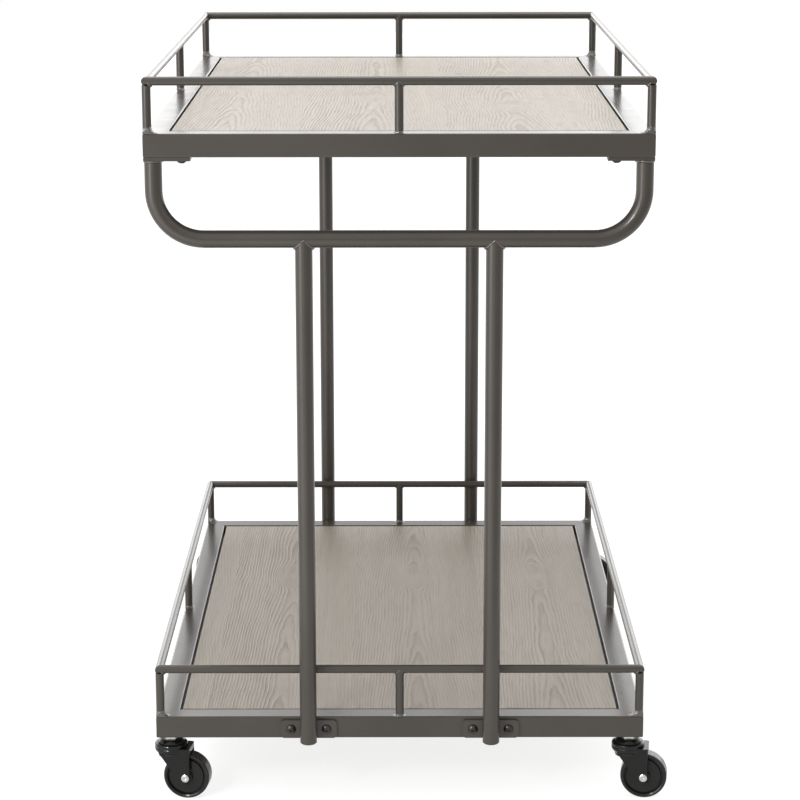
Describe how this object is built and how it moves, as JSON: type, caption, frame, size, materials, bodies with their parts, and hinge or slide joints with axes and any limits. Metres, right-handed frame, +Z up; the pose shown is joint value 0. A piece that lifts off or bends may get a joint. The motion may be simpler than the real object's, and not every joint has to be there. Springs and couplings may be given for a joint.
{
  "type": "bar cart",
  "caption": "Two-tier rolling bar cart: wood shelves in steel tray frames with gallery rails, end yokes on paired legs, swivel casters.",
  "frame": {"origin": "on the floor under the middle of the cart", "axes": "+Z up, Y along the cart's long side with the front end at -Y, X across the cart"},
  "size_m": [0.5692, 0.806, 0.7805],
  "materials": {
    "tray_frame": "semi-gloss powder coat",
    "gallery_rail": "semi-gloss powder coat",
    "leg_frame": "semi-gloss powder coat",
    "shelf_panel": "satin, greyed oak grain",
    "caster_fork": "gloss black",
    "wheel": "satin black",
    "zinc_steel": "bright zinc",
    "screws": "black oxide",
    "end_cap": "matte black"
  },
  "bodies": {
    "cart_frame": {"back_left_bracket": "leg_frame", "back_left_leg": "leg_frame", "back_left_stem": "zinc_steel", "back_right_bracket": "leg_frame", "back_right_leg": "leg_frame", "back_right_stem": "zinc_steel", "back_yoke_plates": "leg_frame", "back_yoke_tube": "leg_frame", "bracket_rivet_nuts": "zinc_steel", "bracket_screws": "screws", "caster_weld_nuts": "zinc_steel", "front_left_bracket": "leg_frame", "front_left_leg": "leg_frame", "front_left_stem": "zinc_steel", "front_right_bracket": "leg_frame", "front_right_leg": "leg_frame", "front_right_stem": "zinc_steel", "front_yoke_plates": "leg_frame", "front_yoke_tube": "leg_frame", "leg_end_caps": "end_cap", "lower_back_rail": "gallery_rail", "lower_back_tube": "tray_frame", "lower_front_rail": "gallery_rail", "lower_front_tube": "tray_frame", "lower_left_rail": "gallery_rail", "lower_left_tube": "tray_frame", "lower_rail_posts": "gallery_rail", "lower_right_rail": "gallery_rail", "lower_right_tube": "tray_frame", "lower_shelf_bars": "tray_frame", "lower_shelf_panel": "shelf_panel", "panel_screws": "zinc_steel", "swivel_bearing_balls": "zinc_steel", "swivel_dust_caps": "caster_fork", "upper_back_rail": "gallery_rail", "upper_back_tube": "tray_frame", "upper_front_rail": "gallery_rail", "upper_front_tube": "tray_frame", "upper_left_rail": "gallery_rail", "upper_left_tube": "tray_frame", "upper_rail_posts": "gallery_rail", "upper_right_rail": "gallery_rail", "upper_right_tube": "tray_frame", "upper_shelf_bars": "tray_frame", "upper_shelf_panel": "shelf_panel", "yoke_rivet_nuts": "zinc_steel", "yoke_screws": "screws"},
    "front_left_caster_fork": {"front_left_fork": "caster_fork", "front_left_axle": "zinc_steel"},
    "front_left_caster_wheel": {"front_left_wheel": "wheel"},
    "front_right_caster_fork": {"front_right_fork": "caster_fork", "front_right_axle": "zinc_steel"},
    "front_right_caster_wheel": {"front_right_wheel": "wheel"},
    "back_right_caster_fork": {"back_right_fork": "caster_fork", "back_right_axle": "zinc_steel"},
    "back_right_caster_wheel": {"back_right_wheel": "wheel"},
    "back_left_caster_fork": {"back_left_fork": "caster_fork", "back_left_axle": "zinc_steel"},
    "back_left_caster_wheel": {"back_left_wheel": "wheel"}
  },
  "joints": [
    {"name": "front_left_swivel", "type": "hinge", "parent": "cart_frame", "child": "front_left_caster_fork", "pos_m": [-0.2465, -0.3645, 0.056], "axis": [0, 0, 1], "continuous": true},
    {"name": "front_left_roll", "type": "hinge", "parent": "front_left_caster_fork", "child": "front_left_caster_wheel", "pos_m": [-0.22917, -0.36694, 0.025], "axis": [0.1392, 0.9903, 0], "continuous": true},
    {"name": "front_right_swivel", "type": "hinge", "parent": "cart_frame", "child": "front_right_caster_fork", "pos_m": [0.2465, -0.3645, 0.056], "axis": [0, 0, 1], "continuous": true},
    {"name": "front_right_roll", "type": "hinge", "parent": "front_right_caster_fork", "child": "front_right_caster_wheel", "pos_m": [0.26383, -0.36694, 0.025], "axis": [0.1392, 0.9903, 0], "continuous": true},
    {"name": "back_right_swivel", "type": "hinge", "parent": "cart_frame", "child": "back_right_caster_fork", "pos_m": [0.2465, 0.3645, 0.056], "axis": [0, 0, 1], "continuous": true},
    {"name": "back_right_roll", "type": "hinge", "parent": "back_right_caster_fork", "child": "back_right_caster_wheel", "pos_m": [0.26383, 0.36206, 0.025], "axis": [0.1392, 0.9903, 0], "continuous": true},
    {"name": "back_left_swivel", "type": "hinge", "parent": "cart_frame", "child": "back_left_caster_fork", "pos_m": [-0.2465, 0.3645, 0.056], "axis": [0, 0, 1], "continuous": true},
    {"name": "back_left_roll", "type": "hinge", "parent": "back_left_caster_fork", "child": "back_left_caster_wheel", "pos_m": [-0.25775, 0.37791, 0.025], "axis": [-0.766, -0.6428, 0], "continuous": true}
  ]
}
